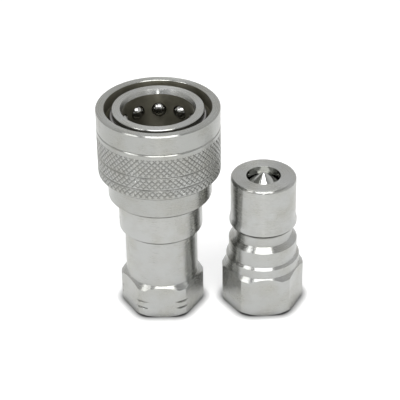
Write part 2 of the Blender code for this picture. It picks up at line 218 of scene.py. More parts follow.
# Nipple body
NIPPLE_TOP_Z = 42.2
TIP_R = 9.525
TIP_ROUND = 0.9
TIP_END_Z = 29.7
SHOULDER_R = 9.87
SHOULDER_Z = (28.1, 27.3)
SHOULDER_END = (9.52, 26.75)
LOCK_GROOVE_R = 8.5
LOCK_GROOVE_Z = (25.6, 22.8)
COLLAR_R = 10.0
COLLAR_Z = (21.4, 16.6)
REAR_COLLAR_R = 10.75
REAR_COLLAR_Z = 15.95
NIPPLE_HEX_TOP_Z = 13.2
NIPPLE_HEX_CORNER_Z = 12.0
NIPPLE_SEAT_R = 4.95
NIPPLE_SEAT_Z = 38.6
NIPPLE_CHAMBER_R = 6.9
GUIDE_RING_Z = 16.4
GUIDE_RING_WIRE = 1.0
GUIDE_RING_GROOVE_R = 7.4
GUIDE_RING_GROOVE_HALF = 0.55

# Valves and springs
SEAT_GAP = 0.42
SEAL_TO_SEAT = 0.085
SEAL_GAP = 0.1
SPRING_GAP = 0.1
VALVE_STEM_GAP = 0.15
GUIDE_THICKNESS = 2.0
SPOKE_HALF = 1.0


def axis_x(name):
    low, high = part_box(name)
    return (low.x + high.x) / 2


SOCKET_X = axis_x("locking_sleeve")
NIPPLE_X = axis_x("nipple_body")


# Materials


def fill(tree, socket, value):
    """Gives an input a value, or links another node's output to it."""
    if isinstance(value, bpy.types.NodeSocket):
        tree.links.new(value, socket)
    else:
        socket.default_value = value


def node(tree, kind, inputs=(), **settings):
    """A shader node. inputs is a dict of socket name or number to a value or another node's output."""
    made = tree.nodes.new("ShaderNode" + kind)
    for key, value in settings.items():
        setattr(made, key, value)
    for key, value in dict(inputs).items():
        fill(tree, made.inputs[key], value)
    return made


def blank_material(name):
    """A new material with its node tree and its shader."""
    made = bpy.data.materials.new(name)
    made.use_nodes = True
    return made, made.node_tree, made.node_tree.nodes["Principled BSDF"]


def set_inputs(tree, shader, **values):
    for key, value in values.items():
        fill(tree, shader.inputs[key.replace("_", " ").title()], value)


def millimetres(tree):
    """The place on a piece in millimetres, from the point where its axis meets the floor."""
    place = node(tree, "TexCoord").outputs["Object"]
    return node(tree, "VectorMath", {0: place, 3: 1 / MM}, operation="SCALE").outputs[0]


def lathe_place(tree, place):
    """(radius, height, a little of the angle): what a turning tool's marks follow."""
    flat = node(tree, "VectorMath", {0: place, 1: (1, 1, 0)}, operation="MULTIPLY").outputs[0]
    radius = node(tree, "VectorMath", {0: flat}, operation="LENGTH").outputs["Value"]
    parts = node(tree, "SeparateXYZ", {0: place})
    drift = maths(tree, "MULTIPLY", parts.outputs["X"], 0.04)
    return node(tree, "CombineXYZ", {0: radius, 1: parts.outputs["Z"], 2: drift}).outputs[0]


def noise(tree, place, scale, detail=2.0, roughness=0.5):
    made = node(tree, "TexNoise", {"Vector": place, "Scale": scale, "Detail": detail, "Roughness": roughness})
    return made.outputs["Fac"]


def ranged(tree, value, from_low, from_high, low, high):
    """The value moved in a straight line from its first range to the second, and held at the ends."""
    made = node(tree, "MapRange", {0: value, 1: from_low, 2: from_high, 3: low, 4: high})
    return made.outputs["Result"]


def mixed(tree, share, first, second):
    made = node(tree, "Mix", {"Factor": share}, data_type="RGBA")
    colours = [s for s in made.inputs if s.type == "RGBA"]
    for socket, colour in zip(colours, (first, second)):
        fill(tree, socket, (*colour, 1) if isinstance(colour, tuple) else colour)
    return [s for s in made.outputs if s.type == "RGBA"][0]


def maths(tree, operation, first, second=0.5):
    return node(tree, "Math", {0: first, 1: second}, operation=operation).outputs[0]


def bumped(tree, height, strength, depth, under=None):
    """The normal of a surface with this height, depth in millimetres, over another bumped normal."""
    inputs = {"Strength": strength, "Distance": depth * MM, "Height": height}
    if under:
        inputs["Normal"] = under
    return node(tree, "Bump", inputs).outputs[0]


def turned_metal(
    name, colour, tint, roughness, marks, mark_scale=7.0, stretch=0.9, metal=1.0, groove_shade=None, underside_shade_at=None
):
    """Turned and plated steel: rings left by the tool, cloudy passivation and a faint tint.

    Slopes that face down, such as the chamfers at lower ends, are painted darker as shade. underside_shade_at
    limits it to heights, each given as (middle, half). groove_shade is (deep radius, proud radius, top,
    share): below that height, metal just inside the proud radius is painted darker as it gets deeper, as
    shade in the grooves."""
    made, tree, shader = blank_material(name)
    place = millimetres(tree)
    along = lathe_place(tree, place)
    rings = noise(tree, along, mark_scale, 3.0, 0.65)
    feed = noise(tree, along, 2.4, 1.0, 0.4)
    clouds = noise(tree, place, 0.16, 3.0, 0.55)
    specks = noise(tree, place, 5.0, 2.0, 0.6)
    shade = mixed(tree, ranged(tree, clouds, 0.4, 0.66, 0, 1), colour, tint)
    dark = tuple(c * 0.84 for c in colour)
    shade = mixed(tree, ranged(tree, specks, 0.62, 0.78, 0, 0.4), shade, dark)
    rough = ranged(tree, rings, 0.3, 0.7, roughness - 0.04, roughness + 0.04)
    rough = maths(tree, "ADD", rough, ranged(tree, clouds, 0.3, 0.7, -0.02, 0.03))
    along_parts = node(tree, "SeparateXYZ", {0: along}).outputs
    radius, height = along_parts["X"], along_parts["Y"]
    # Painted shade: slopes that face down are painted darker, standing in for the shade under steps and lower
    # edges
    facing = node(tree, "SeparateXYZ", {0: node(tree, "NewGeometry").outputs["Normal"]}).outputs["Z"]
    slope = ranged(tree, facing, *UNDERSIDE_SHADE_SLOPE, 0, UNDERSIDE_SHADE_SHARE)
    level = ranged(tree, facing, *UNDERSIDE_SHADE_LEVEL, 1, 0)
    underside_shade = maths(tree, "MULTIPLY", slope, level)
    if underside_shade_at:
        zones = 0.0
        for middle, half in underside_shade_at:
            away = maths(tree, "ABSOLUTE", maths(tree, "SUBTRACT", height, middle))
            zones = maths(tree, "ADD", zones, ranged(tree, away, half + 0.05, half, 0, 1))
        underside_shade = maths(tree, "MULTIPLY", underside_shade, zones)
    shade = mixed(tree, underside_shade, shade, PAINTED_SHADE_COLOUR)
    # Painted shade in grooves: below the top height, metal just inside the proud radius is painted darker,
    # and made rougher, the deeper it lies
    if groove_shade:
        deep, proud, top, share = groove_shade
        depth = ranged(tree, radius, proud, deep, 0, share)
        depth = maths(tree, "MULTIPLY", depth, ranged(tree, radius, deep - 0.5, deep - 0.3, 0, 1))
        depth = maths(tree, "MULTIPLY", depth, ranged(tree, height, top + 0.1, top, 0, 1))
        shade = mixed(tree, depth, shade, PAINTED_SHADE_COLOUR)
        rough = maths(tree, "ADD", rough, ranged(tree, depth, 0, 1, 0, 0.25))
    coarse = bumped(tree, feed, marks, 0.02)
    fine = bumped(tree, rings, marks, 0.008, coarse)
    skin = bumped(tree, specks, 0.12, 0.012, fine)
    tangent = node(tree, "Tangent", direction_type="RADIAL", axis="Z").outputs[0]
    set_inputs(
        tree,
        shader,
        base_color=shade,
        metallic=metal,
        roughness=rough,
        anisotropic=stretch,
        anisotropic_rotation=0.25,
        normal=skin,
        tangent=tangent,
    )
    return made


def polished_ball():
    """Lapped bearing steel with a faint haze."""
    made, tree, shader = blank_material("ball_bearing_steel")
    place = millimetres(tree)
    lapping = noise(tree, place, 14.0, 3.0, 0.7)
    haze = noise(tree, place, 0.9, 2.0)
    shade = mixed(tree, haze, (0.44, 0.44, 0.43), (0.37, 0.37, 0.36))
    set_inputs(
        tree,
        shader,
        base_color=shade,
        metallic=1.0,
        roughness=ranged(tree, lapping, 0.3, 0.7, 0.1, 0.16),
        normal=bumped(tree, lapping, 0.12, 0.004),
    )
    return made


def spring_wire():
    """Drawn music wire: die marks, and an oily tempering tint."""
    made, tree, shader = blank_material("drawn_spring_wire")
    place = millimetres(tree)
    marks = noise(tree, place, 9.0, 4.0, 0.7)
    haze = noise(tree, place, 0.5, 2.0)
    shade = mixed(tree, haze, (0.40, 0.40, 0.42), (0.33, 0.31, 0.28))
    set_inputs(
        tree,
        shader,
        base_color=shade,
        metallic=1.0,
        roughness=ranged(tree, marks, 0.3, 0.7, 0.26, 0.42),
        normal=bumped(tree, marks, 0.35, 0.01),
    )
    return made


def moulded(name, colour, other, roughness, grain):
    """Rubber or plastic: a fine grain and dull patches."""
    made, tree, shader = blank_material(name)
    place = millimetres(tree)
    fine = noise(tree, place, grain, 4.0, 0.6)
    patches = noise(tree, place, 0.6, 3.0)
    set_inputs(
        tree,
        shader,
        base_color=mixed(tree, patches, colour, other),
        roughness=ranged(tree, patches, 0.3, 0.7, roughness - 0.08, roughness + 0.08),
        normal=bumped(tree, fine, 0.4, 0.015),
    )
    return made


ZINC = turned_metal(
    "zinc_plated_turned",
    colour=(0.405, 0.41, 0.4),
    tint=(0.375, 0.375, 0.35),
    roughness=0.25,
    marks=0.13,
)
# Bored and inner walls: rougher with coarser tool marks, and a dark olive colour painted as the shade inside
# the bores and the sleeve's mouth
SHADED_BORE_ZINC = turned_metal(
    "zinc_plated_bored_shaded",
    colour=(0.2, 0.19, 0.15),
    tint=(0.13, 0.125, 0.09),
    roughness=0.42,
    marks=1.0,
    mark_scale=5.0,
    metal=0.88,
)
POLISHED_ZINC = turned_metal(
    "zinc_plated_reamed",
    colour=(0.47, 0.475, 0.46),
    tint=(0.45, 0.45, 0.43),
    roughness=0.08,
    marks=0.1,
    stretch=0,
)
KNURLED_ZINC = turned_metal(
    "zinc_plated_knurled",
    colour=(0.355, 0.36, 0.345),
    tint=(0.335, 0.335, 0.31),
    roughness=0.25,
    marks=0.2,
    # Painted shade in the hollows of the knurl and the grip grooves
    groove_shade=(SLEEVE_R - 0.2, SLEEVE_R - 0.03, KNURL_TOP_Z, 0.5),
    # Painted shade on slopes that face down, only at the grip grooves and the rear band
    underside_shade_at=(
        (GRIP_GROOVE_Z[0], 0.2),
        (GRIP_GROOVE_Z[1], 0.2),
        ((SLEEVE_STEP_Z + SLEEVE_END_Z) / 2, (SLEEVE_STEP_Z - SLEEVE_END_Z) / 2 + 0.1),
    ),
)
VALVE_STEEL = turned_metal(
    "valve_steel",
    colour=(0.44, 0.445, 0.43),
    tint=(0.41, 0.41, 0.39),
    roughness=0.14,
    marks=0.3,
    mark_scale=9.0,
    stretch=0.3,
)
BALL_STEEL = polished_ball()
SPRING_STEEL = spring_wire()
RUBBER = moulded(
    "black_nitrile", colour=(0.018, 0.018, 0.02), other=(0.03, 0.029, 0.028), roughness=0.5, grain=12.0
)
PTFE = moulded("white_ptfe", colour=(0.83, 0.82, 0.78), other=(0.77, 0.75, 0.7), roughness=0.42, grain=8.0)


# Shapes


def rounded(outline, edge=EDGE):
    """The outline with its corners rounded. One that starts on the axis is open, the others are rings."""
    points = [Vector(p) for p in outline]
    count = len(points)
    is_open = outline[0][0] == 0
    made = []
    for i, corner in enumerate(points):
        before, after = points[i - 1], points[(i + 1) % count]
        if is_open and i in (0, count - 1):
            made.append(corner)
            continue
        back, on = before - corner, after - corner
        bend = math.pi - back.angle(on)
        if bend < ARC_STEP:
            made.append(corner)
            continue
        reach = min(edge * math.tan(bend / 2), EDGE_SHARE * back.length, EDGE_SHARE * on.length)
        first, last = corner + back.normalized() * reach, corner + on.normalized() * reach
        steps = max(2, round(bend / ARC_STEP))
        for k in range(steps + 1):
            t = k / steps
            made.append(first * (1 - t) ** 2 + corner * (2 * t * (1 - t)) + last * t**2)
    return [tuple(p) for p in made]


def turned_mesh(name, outline, segments=SEGMENTS, surface=None):
    """The mesh of an outline turned round the axis. surface(radius, turn, height) may move the radius."""
    on_axis = outline[0][0] == 0
    rows = np.array(outline[1:-1] if on_axis else outline)
    turn = np.arange(segments) / segments
    radius = rows[:, :1] + 0 * turn
    height = rows[:, 1:] + 0 * turn
    if surface:
        radius = surface(radius, turn[None, :] + 0 * radius, height)
    angle = 2 * math.pi * turn
    points = np.stack([radius * np.cos(angle), radius * np.sin(angle), height], -1).reshape(-1, 3)
    here = np.arange(segments)
    after = (here + 1) % segments
    faces = []
    count = len(rows)
    for row in range(count - 1 if on_axis else count):
        low = (row + 1) % count * segments
        high = row * segments
        faces += np.stack([high + here, low + here, low + after, high + after], -1).tolist()
    points = points.tolist()
    if on_axis:
        top, bottom = len(points), len(points) + 1
        points += [(0, 0, outline[0][1]), (0, 0, outline[-1][1])]
        last = (count - 1) * segments
        faces += [(top, i, j) for i, j in zip(here.tolist(), after.tolist())]
        faces += [(last + i, bottom, last + j) for i, j in zip(here.tolist(), after.tolist())]
    mesh = bpy.data.meshes.new(name)
    mesh.from_pydata([(x * MM, y * MM, z * MM) for x, y, z in points], [], faces)
    return mesh


def outward_mesh(name, shape):
    """The mesh of a closed bmesh, with its faces turned outwards."""
    bmesh.ops.recalc_face_normals(shape, faces=shape.faces)
    mesh = bpy.data.meshes.new(name)
    shape.to_mesh(mesh)
    shape.free()
    return mesh


def swept_mesh(name, path, section_r):
    """A round wire along a path in millimetres, with domed ends."""
    path = np.array(path)
    ahead = np.gradient(path, axis=0)
    ahead /= np.linalg.norm(ahead, axis=1)[:, None]
    dome = [(-0.45, 0.44), (-0.3, 0.8)]
    lead = [(path[0] + ahead[0] * section_r * k, ahead[0], s) for k, s in dome]
    tail = [(path[-1] - ahead[-1] * section_r * k, ahead[-1], s) for k, s in reversed(dome)]
    stations = lead + [(p, a, 1.0) for p, a in zip(path, ahead)] + tail
    around = 2 * math.pi * np.arange(WIRE_SIDES) / WIRE_SIDES
    shape = bmesh.new()
    rings = []
    for centre, direction, share in stations:
        side = np.cross(direction, (0, 0, 1))
        side /= np.linalg.norm(side)
        up = np.cross(side, direction)
        ring = [centre + section_r * share * (math.cos(a) * side + math.sin(a) * up) for a in around]
        rings.append([shape.verts.new(point * MM) for point in ring])
    for ring, following in zip(rings, rings[1:]):
        for i in range(WIRE_SIDES):
            j = (i + 1) % WIRE_SIDES
            shape.faces.new((ring[i], ring[j], following[j], following[i]))
    shape.faces.new(rings[0][::-1])
    shape.faces.new(rings[-1])
    return outward_mesh(name, shape)


def in_scene(name, mesh, x=0.0):
    obj = bpy.data.objects.new(name, mesh)
    bpy.context.scene.collection.objects.link(obj)
    obj.location.x = x
    return obj


def cut(obj, cutters):
    """Cuts with each cutter in turn, applies the cuts and removes the cutters."""
    for cutter in cutters:
        boolean = obj.modifiers.new("cut", "BOOLEAN")
        boolean.operation = "DIFFERENCE"
        boolean.object = cutter
    bpy.context.view_layer.update()
    solid = obj.evaluated_get(bpy.context.evaluated_depsgraph_get())
    mesh = bpy.data.meshes.new_from_object(solid)
    obj.modifiers.clear()
    obj.data = mesh
    for cutter in cutters:
        bpy.data.objects.remove(cutter, do_unlink=True)


def finished(obj, finish, body, slot, *nodes, sharp=40, inner=None):
    """Shades a piece, gives it its material, ties it to its body and hides the CAD nodes it stands for.

    inner is (another finish, greatest radius, lowest, highest) for the faces inside those limits."""
    mesh = obj.data
    mesh.materials.clear()
    mesh.materials.append(finish)
    if inner:
        inner_finish, greatest, lowest, highest = inner
        mesh.materials.append(inner_finish)
        for face in mesh.polygons:
            x, y, z = face.center / MM
            if math.hypot(x, y) < greatest and lowest < z < highest:
                face.material_index = 1
    mesh.shade_smooth()
    mesh.set_sharp_from_angle(angle=math.radians(sharp))
    weighted = obj.modifiers.new("even_shading", "WEIGHTED_NORMAL")
    weighted.weight = 80
    weighted.keep_sharp = True
    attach(obj, body)
    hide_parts(*nodes)


def hex_flats(top, turn, x):
    """A hexagonal tube that cuts the flats of a turned blank below a height."""
    shape = bmesh.new()
    inner = HEX_ACROSS_FLATS / math.sqrt(3)
    outer = inner + 6.0
    bottom = -1.0
    rings = []
    for radius, z in ((inner, bottom), (outer, bottom), (outer, top), (inner, top)):
        corners = []
        for i in range(6):
            angle = turn + math.pi / 3 * i
            corner = Vector((radius * math.cos(angle), radius * math.sin(angle), z))
            corners.append(shape.verts.new(corner * MM))
        rings.append(corners)
    for ring, following in zip(rings, rings[1:] + rings[:1]):
        for i in range(6):
            j = (i + 1) % 6
            shape.faces.new((ring[i], following[i], following[j], ring[j]))
    return in_scene("hex_flats", outward_mesh("hex_flats", shape), x)


def port_outline(corner_r):
    """The hexagon's foot, the end face and the female port with rows for its thread."""
    step = THREAD_PITCH / THREAD_ROWS
    bore_z = PORT_MOUTH_R - PORT_R
    count = round((PORT_DEPTH - bore_z - PORT_RELIEF) / step)
    rows = [(PORT_R, bore_z + step * k) for k in range(count + 1)]
    return [(corner_r, HEX_FOOT_H), (PORT_FACE_R, 0), (PORT_MOUTH_R, 0), *rows, (PORT_R, PORT_DEPTH)]


def port_thread(radius, turn, height):
    """Cuts the port's helical thread into the rows of its bore: a V groove with a flat root."""
    run_in, run_out = 0.5, THREAD_PITCH * 0.8
    phase = (height / THREAD_PITCH - turn) % 1.0
    tooth = np.clip(1.25 - 2.9 * np.abs(phase - 0.5), 0, 1)
    start = np.clip((height - THREAD_START_Z) / run_in, 0, 1)
    end = np.clip((THREAD_END_Z - height) / run_out, 0, 1)
    in_port = (np.abs(radius - PORT_R) < 0.001) & (height < PORT_DEPTH - 0.05)
    return radius + np.where(in_port, THREAD_DEPTH * tooth * np.minimum(start, end), 0)


def ball_angle(number):
    return math.pi / 2 + 2 * math.pi * number / BALL_COUNT


def ball_holes():
    """The cutters of the ball holes, each with a narrower lip that keeps its ball."""
    holes = []
    outside, inside = BALL_LOCKED_R + 3.0, BORE_R - 1.0
    cone_end, lip_end = BORE_R + 0.45, BORE_R + 0.05
    outline = [
        (0, outside),
        (BALL_HOLE_R, outside),
        (BALL_HOLE_R, cone_end),
        (BALL_LIP_R, lip_end),
        (BALL_LIP_R, inside),
        (0, inside),
    ]
    for number in range(BALL_COUNT):
        hole = in_scene("ball_hole", turned_mesh("ball_hole", outline, HOLE_SEGMENTS), SOCKET_X)
        hole.location.z = BALL_Z * MM
        hole.rotation_euler = (0, math.pi / 2, ball_angle(number))
        holes.append(hole)
    return holes


def socket_body():
    """The body with its ball holes. Its bore is rougher than its outside, and painted darker as the shade
    inside it.
    """
    face_edge = 0.2
    thread_r = JOINT_THREAD_R + THREAD_GAP
    oring_room_r = JOINT_ORING_R + JOINT_ORING_SECTION / 2 + JOINT_ORING_GAP[0]
    oring_room_z = JOINT_ORING_Z + JOINT_ORING_SECTION / 2 + JOINT_ORING_GAP[1]
    chamber_z = SOCKET_SEAT_Z - (SOCKET_CHAMBER_R - SOCKET_SEAT_R)
    outline = [
        (MOUTH_R, FACE_Z),
        (BODY_R - face_edge, FACE_Z),
        (BODY_R, FACE_Z - face_edge),
        (BODY_R, SNAP_GROOVE_Z[0]),
        (SNAP_GROOVE_R, SNAP_GROOVE_Z[0]),
        (SNAP_GROOVE_R, SNAP_GROOVE_Z[1]),
        (BODY_R, SNAP_GROOVE_Z[1]),
        (BODY_R, SPRING_FLANGE_Z[0]),
        (SPRING_FLANGE_R, SPRING_FLANGE_Z[0]),
        (SPRING_FLANGE_R, SPRING_FLANGE_Z[1]),
        (NECK_R, SPRING_FLANGE_Z[1]),
        (NECK_R, NECK_END_Z + NECK_END_EDGE),
        (NECK_R - NECK_END_EDGE, NECK_END_Z),
        (oring_room_r, NECK_END_Z),
        (oring_room_r, oring_room_z),
        (thread_r, oring_room_z),
        (thread_r, JOINT_TOP_Z),
        (SOCKET_CHAMBER_R, JOINT_TOP_Z),
        (SOCKET_CHAMBER_R, chamber_z),
        (SOCKET_SEAT_R, SOCKET_SEAT_Z),
        (SOCKET_SEAT_R, STOP_Z),
        (SEAL_BORE_R, STOP_Z),
        (SEAL_BORE_R, SEAL_GROOVE_Z[1]),
        (SEAL_GROOVE_R, SEAL_GROOVE_Z[1]),
        (SEAL_GROOVE_R, SEAL_GROOVE_Z[0]),
        (SEAL_BORE_R, SEAL_GROOVE_Z[0]),
        (SEAL_BORE_R, BORE_END_Z - BORE_LEAD),
        (BORE_R, BORE_END_Z),
        (BORE_R, FACE_Z - MOUTH_DEPTH),
    ]
    body = in_scene("socket_body_finished", turned_mesh("socket_body", rounded(outline)), SOCKET_X)
    cut(body, ball_holes())
    shaded_bore = (SHADED_BORE_ZINC, BODY_R - 0.05, SPRING_FLANGE_Z[1], FACE_Z - MOUTH_DEPTH - 0.05)
    finished(body, ZINC, "socket", "zinc_plated_steel", "socket_body", inner=shaded_bore)


def socket_adapter():
    edge = 0.4
    shoulder_z = NECK_END_Z - JOINT_SHOULDER_GAP
    end_z = JOINT_TOP_Z - JOINT_END_GAP
    thread_r = JOINT_THREAD_R - THREAD_GAP
    outline = [
        (thread_r - edge, end_z),
        (thread_r, end_z - edge),
        (thread_r, shoulder_z),
        (ADAPTER_R - edge, shoulder_z),
        (ADAPTER_R, shoulder_z - edge),
        (ADAPTER_R, SOCKET_HEX_TOP_Z),
        (SOCKET_HEX_CORNER_R, SOCKET_HEX_CORNER_Z),
    ]
    for z in CORNER_MARK_Z:
        outline += [
            (SOCKET_HEX_CORNER_R, z + CORNER_MARK_WIDTH / 2),
            (SOCKET_HEX_CORNER_R - CORNER_MARK_DEPTH, z),
            (SOCKET_HEX_CORNER_R, z - CORNER_MARK_WIDTH / 2),
        ]
    outline += port_outline(SOCKET_HEX_CORNER_R)
    outline += [
        (PASSAGE_R, PORT_DEPTH + PORT_CONE),
        (PASSAGE_R, GUIDE_POCKET_Z),
        (GUIDE_POCKET_R, GUIDE_POCKET_Z),
        (GUIDE_POCKET_R, end_z),
    ]
    mesh = turned_mesh("socket_adapter", rounded(outline), surface=port_thread)
    adapter = in_scene("socket_adapter_finished", mesh, SOCKET_X)
    cut(adapter, [hex_flats(SOCKET_HEX_TOP_Z + 1, 0, SOCKET_X)])
    finished(adapter, ZINC, "socket", "zinc_plated_steel", "socket_adapter", sharp=20)


def knurl(radius, turn, height):
    """Two crossing sets of V grooves in the grip's three bands, fading out at the bands' edges."""
    first = (KNURLS * turn + height / KNURL_RISE) % 1.0
    second = (KNURLS * turn - height / KNURL_RISE) % 1.0
    off_groove = np.minimum(np.minimum(first, 1 - first), np.minimum(second, 1 - second))
    depth = np.clip(1 - off_groove / KNURL_HALF_WIDTH, 0, 1)
    tops = (KNURL_TOP_Z, *GRIP_GROOVE_Z)
    bottoms = (*GRIP_GROOVE_Z, KNURL_END_Z)
    pressed = 0 * height
    for top, bottom in zip(tops, bottoms):
        inside = np.minimum(top - height, height - bottom) - GRIP_GROOVE - GRIP_LAND
        pressed = np.maximum(pressed, np.clip(inside / KNURL_FADE, 0, 1))
    moved = pressed * (KNURL_PROUD - KNURL_DEPTH * depth)
    return radius + np.where(radius > SLEEVE_R - 0.001, moved, 0)


def locking_sleeve():
    slope = BALL_TRAVEL / SLEEVE_TRAVEL
    cone_r = BALL_LOCKED_R + (BALL_D / 2 + BALL_GAP) * math.hypot(1, slope)
    land_top_z = BALL_Z - (cone_r - LAND_R) / slope
    cone_top_r = cone_r + (STOP_SHOULDER_Z - BALL_Z) * slope
    step = KNURL_RISE / KNURL_STEPS
    outline = [
        (SLEEVE_MOUTH_R + SLEEVE_MOUTH_EDGE, SLEEVE_TOP_Z),
        (SLEEVE_R - SLEEVE_EDGE, SLEEVE_TOP_Z),
        (SLEEVE_R, SLEEVE_TOP_Z - SLEEVE_EDGE),
    ]
    row_gap = 0.1
    groove = (GRIP_GROOVE_TOP, GRIP_GROOVE_DEPTH, GRIP_GROOVE + GRIP_LAND)
    lines = ((GRIP_TOP_LINE,) * 3, groove, groove)
    bottoms = (*GRIP_GROOVE_Z, SLEEVE_STEP_Z + SLEEVE_STEP_EDGE - GRIP_GROOVE)
    for top, (above, deep, line), bottom in zip((GRIP_TOP_Z, *GRIP_GROOVE_Z), lines, bottoms):
        outline += [(SLEEVE_R, top + above), (SLEEVE_R - deep, top), (SLEEVE_R, top - line)]
        highest = math.floor((top - line - row_gap) / step)
        lowest = math.ceil((bottom + GRIP_GROOVE + row_gap) / step)
        outline += [(SLEEVE_R, k * step) for k in range(highest, lowest - 1, -1)]
    outline += [
        (SLEEVE_R, SLEEVE_STEP_Z + SLEEVE_STEP_EDGE),
        (SLEEVE_R - SLEEVE_STEP_EDGE, SLEEVE_STEP_Z),
        (SLEEVE_REAR_R, SLEEVE_STEP_Z),
        (SLEEVE_REAR_R, SLEEVE_END_Z + SLEEVE_END_EDGE),
        (SLEEVE_REAR_R - SLEEVE_END_EDGE, SLEEVE_END_Z),
        (SPRING_ROOM_R, SLEEVE_END_Z),
        (SPRING_ROOM_R, SPRING_ROOM_TOP_Z),
        (LAND_R, SPRING_ROOM_TOP_Z),
        (LAND_R, land_top_z),
        (cone_top_r, STOP_SHOULDER_Z),
        (SLEEVE_MOUTH_R, STOP_SHOULDER_Z),
        (SLEEVE_MOUTH_R, SLEEVE_TOP_Z - SLEEVE_MOUTH_EDGE),
    ]
    mesh = turned_mesh("locking_sleeve", rounded(outline), KNURLS * KNURL_STEPS, knurl)
    sleeve = in_scene("locking_sleeve_knurled", mesh, SOCKET_X)
    # The sleeve's inside gets the bored finish, painted darker as shade
    inside = (SHADED_BORE_ZINC, SLEEVE_MOUTH_R + 0.02, SPRING_ROOM_TOP_Z - 0.5, SLEEVE_TOP_Z - SLEEVE_MOUTH_EDGE)
    finished(sleeve, KNURLED_ZINC, "sleeve", "zinc_plated_steel", "locking_sleeve", sharp=75, inner=inside)


def locking_balls():
    shape = bmesh.new()
    bmesh.ops.create_icosphere(shape, subdivisions=4, radius=BALL_D / 2 * MM)
    mesh = bpy.data.meshes.new("ball")
    shape.to_mesh(mesh)
    shape.free()
    mesh.materials.append(BALL_STEEL)
    mesh.shade_smooth()
    for number in range(BALL_COUNT):
        node_name = f"locking_ball_{number + 1:02d}"
        ball = in_scene(node_name + "_polished", mesh)
        angle = ball_angle(number)
        ball.location = (
            SOCKET_X + BALL_LOCKED_R * math.cos(angle) * MM,
            BALL_LOCKED_R * math.sin(angle) * MM,
            BALL_Z * MM,
        )
        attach(ball, f"ball_{number + 1:02d}")
        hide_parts(node_name)


def ring_path(radius, z, opening, facing):
    """An open ring in a plane. opening is its gap and facing the gap's middle, in degrees."""
    start = facing + opening / 2
    angles = [math.radians(start + (360 - opening) * i / RING_STEPS) for i in range(RING_STEPS + 1)]
    return [(radius * math.cos(a), radius * math.sin(a), z) for a in angles]


def snap_ring(name, x, body, radius, diameter, z, opening, facing):
    """A snap ring of round wire."""
    mesh = swept_mesh(name, ring_path(radius, z, opening, facing), diameter / 2)
    finished(in_scene(name + "_wire", mesh, x), SPRING_STEEL, body, "spring_steel", name, sharp=60)


def coil_path(radius, diameter, bottom, top, turns):
    """A compression spring's wire, whose first and last turns lie closed."""
    low = bottom + diameter / 2
    high = top - diameter / 2
    closed = diameter * 1.12
    pitch = (high - low - 2 * closed) / (turns - 2)
    points = []
    for i in range(round(turns * COIL_STEPS) + 1):
        turn = i / COIL_STEPS
        if turn < 1:
            z = low + closed * turn
        elif turn > turns - 1:
            z = high - closed * (turns - turn)
        else:
            z = low + closed + pitch * (turn - 1)
        angle = 2 * math.pi * turn
        points.append((radius * math.cos(angle), radius * math.sin(angle), z))
    return points


def coil_spring(name, x, body, radius, diameter, bottom, top, turns):
    """A compression spring with its moving end at the top."""
    mesh = swept_mesh(name, coil_path(radius, diameter, bottom, top, turns), diameter / 2)
    spring = in_scene(name + "_coil", mesh, x)
    finished(spring, SPRING_STEEL, body, "spring_steel", name, sharp=60)
    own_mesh(spring)


def oring(name, major, section, z):
    steps = 20
    angles = [2 * math.pi * (i + 0.5) / steps for i in range(steps)]
    outline = [(major + section / 2 * math.cos(a), z - section / 2 * math.sin(a)) for a in angles]
    ring = in_scene(name + "_moulded", turned_mesh(name, outline), SOCKET_X)
    finished(ring, RUBBER, "socket", "nitrile_rubber", name, sharp=60)


def socket_seals():
    oring("interface_oring", INTERFACE_ORING_R, INTERFACE_ORING_SECTION, INTERFACE_ORING_Z)
    oring("body_joint_oring", JOINT_ORING_R, JOINT_ORING_SECTION, JOINT_ORING_Z)
    inner, outer = BACKUP_RING_R
    high, low = BACKUP_RING_Z
    outline = rounded([(inner, high), (outer, high), (outer, low), (inner, low)], SOFT_EDGE)
    ring = in_scene("backup_ring_machined", turned_mesh("backup_ring", outline), SOCKET_X)
    finished(ring, PTFE, "socket", "ptfe", "backup_ring")


def valve_poppet(name, x, seat_r, seat_z, nose, groove, head_r, head_z, stem_r, stem_z):
    """A poppet and its seal. nose is (tip radius, tip height, side radius, side height)."""
    tip_r, tip_z, side_r, side_z = nose
    groove_top, groove_bottom, groove_r = groove
    cone = seat_r + seat_z - SEAT_GAP
    outline = [
        (0, tip_z),
        (tip_r, tip_z),
        (side_r, side_z),
        (side_r, cone - side_r),
        (cone - groove_top, groove_top),
        (groove_r, groove_top),
        (groove_r, groove_bottom),
        (cone - groove_bottom, groove_bottom),
        (head_r, cone - head_r),
        (head_r, head_z),
        (stem_r, head_z),
        (stem_r, stem_z),
        (0, stem_z),
    ]
    poppet = in_scene(name + "_turned", turned_mesh(name, rounded(outline), VALVE_SEGMENTS), x)
    finished(poppet, VALVE_STEEL, name, "guide_steel", name)
    seat = seat_r + seat_z - SEAL_TO_SEAT
    top, bottom, inner_r = groove_top - SEAL_GAP, groove_bottom + SEAL_GAP, groove_r + SEAL_GAP
    outline = [(inner_r, top), (seat - top, top), (seat - bottom, bottom), (inner_r, bottom)]
    mesh = turned_mesh(name + "_seal", rounded(outline, SOFT_EDGE), VALVE_SEGMENTS)
    seal = in_scene(name + "_seal_moulded", mesh, x)
    finished(seal, RUBBER, name, "nitrile_rubber", name + "_seal")


def valve_guide(name, x, body, rim_r, rim_z, hub_r, hub_z, stem_r, slots_r):
    """A disc with a hub for the stem, and three long slots with round ends between its spokes."""
    bore_r = stem_r + VALVE_STEM_GAP
    outline = [
        (bore_r, hub_z[0]),
        (hub_r, hub_z[0]),
        (hub_r, rim_z[0]),
        (rim_r, rim_z[0]),
        (rim_r, rim_z[1]),
        (hub_r, rim_z[1]),
        (hub_r, hub_z[1]),
        (bore_r, hub_z[1]),
    ]
    guide = in_scene(name + "_machined", turned_mesh(name, rounded(outline), VALVE_SEGMENTS), x)
    cut(guide, [flow_slot(x, number, rim_z, slots_r) for number in range(3)])
    finished(guide, VALVE_STEEL, body, "guide_steel", name, sharp=30)


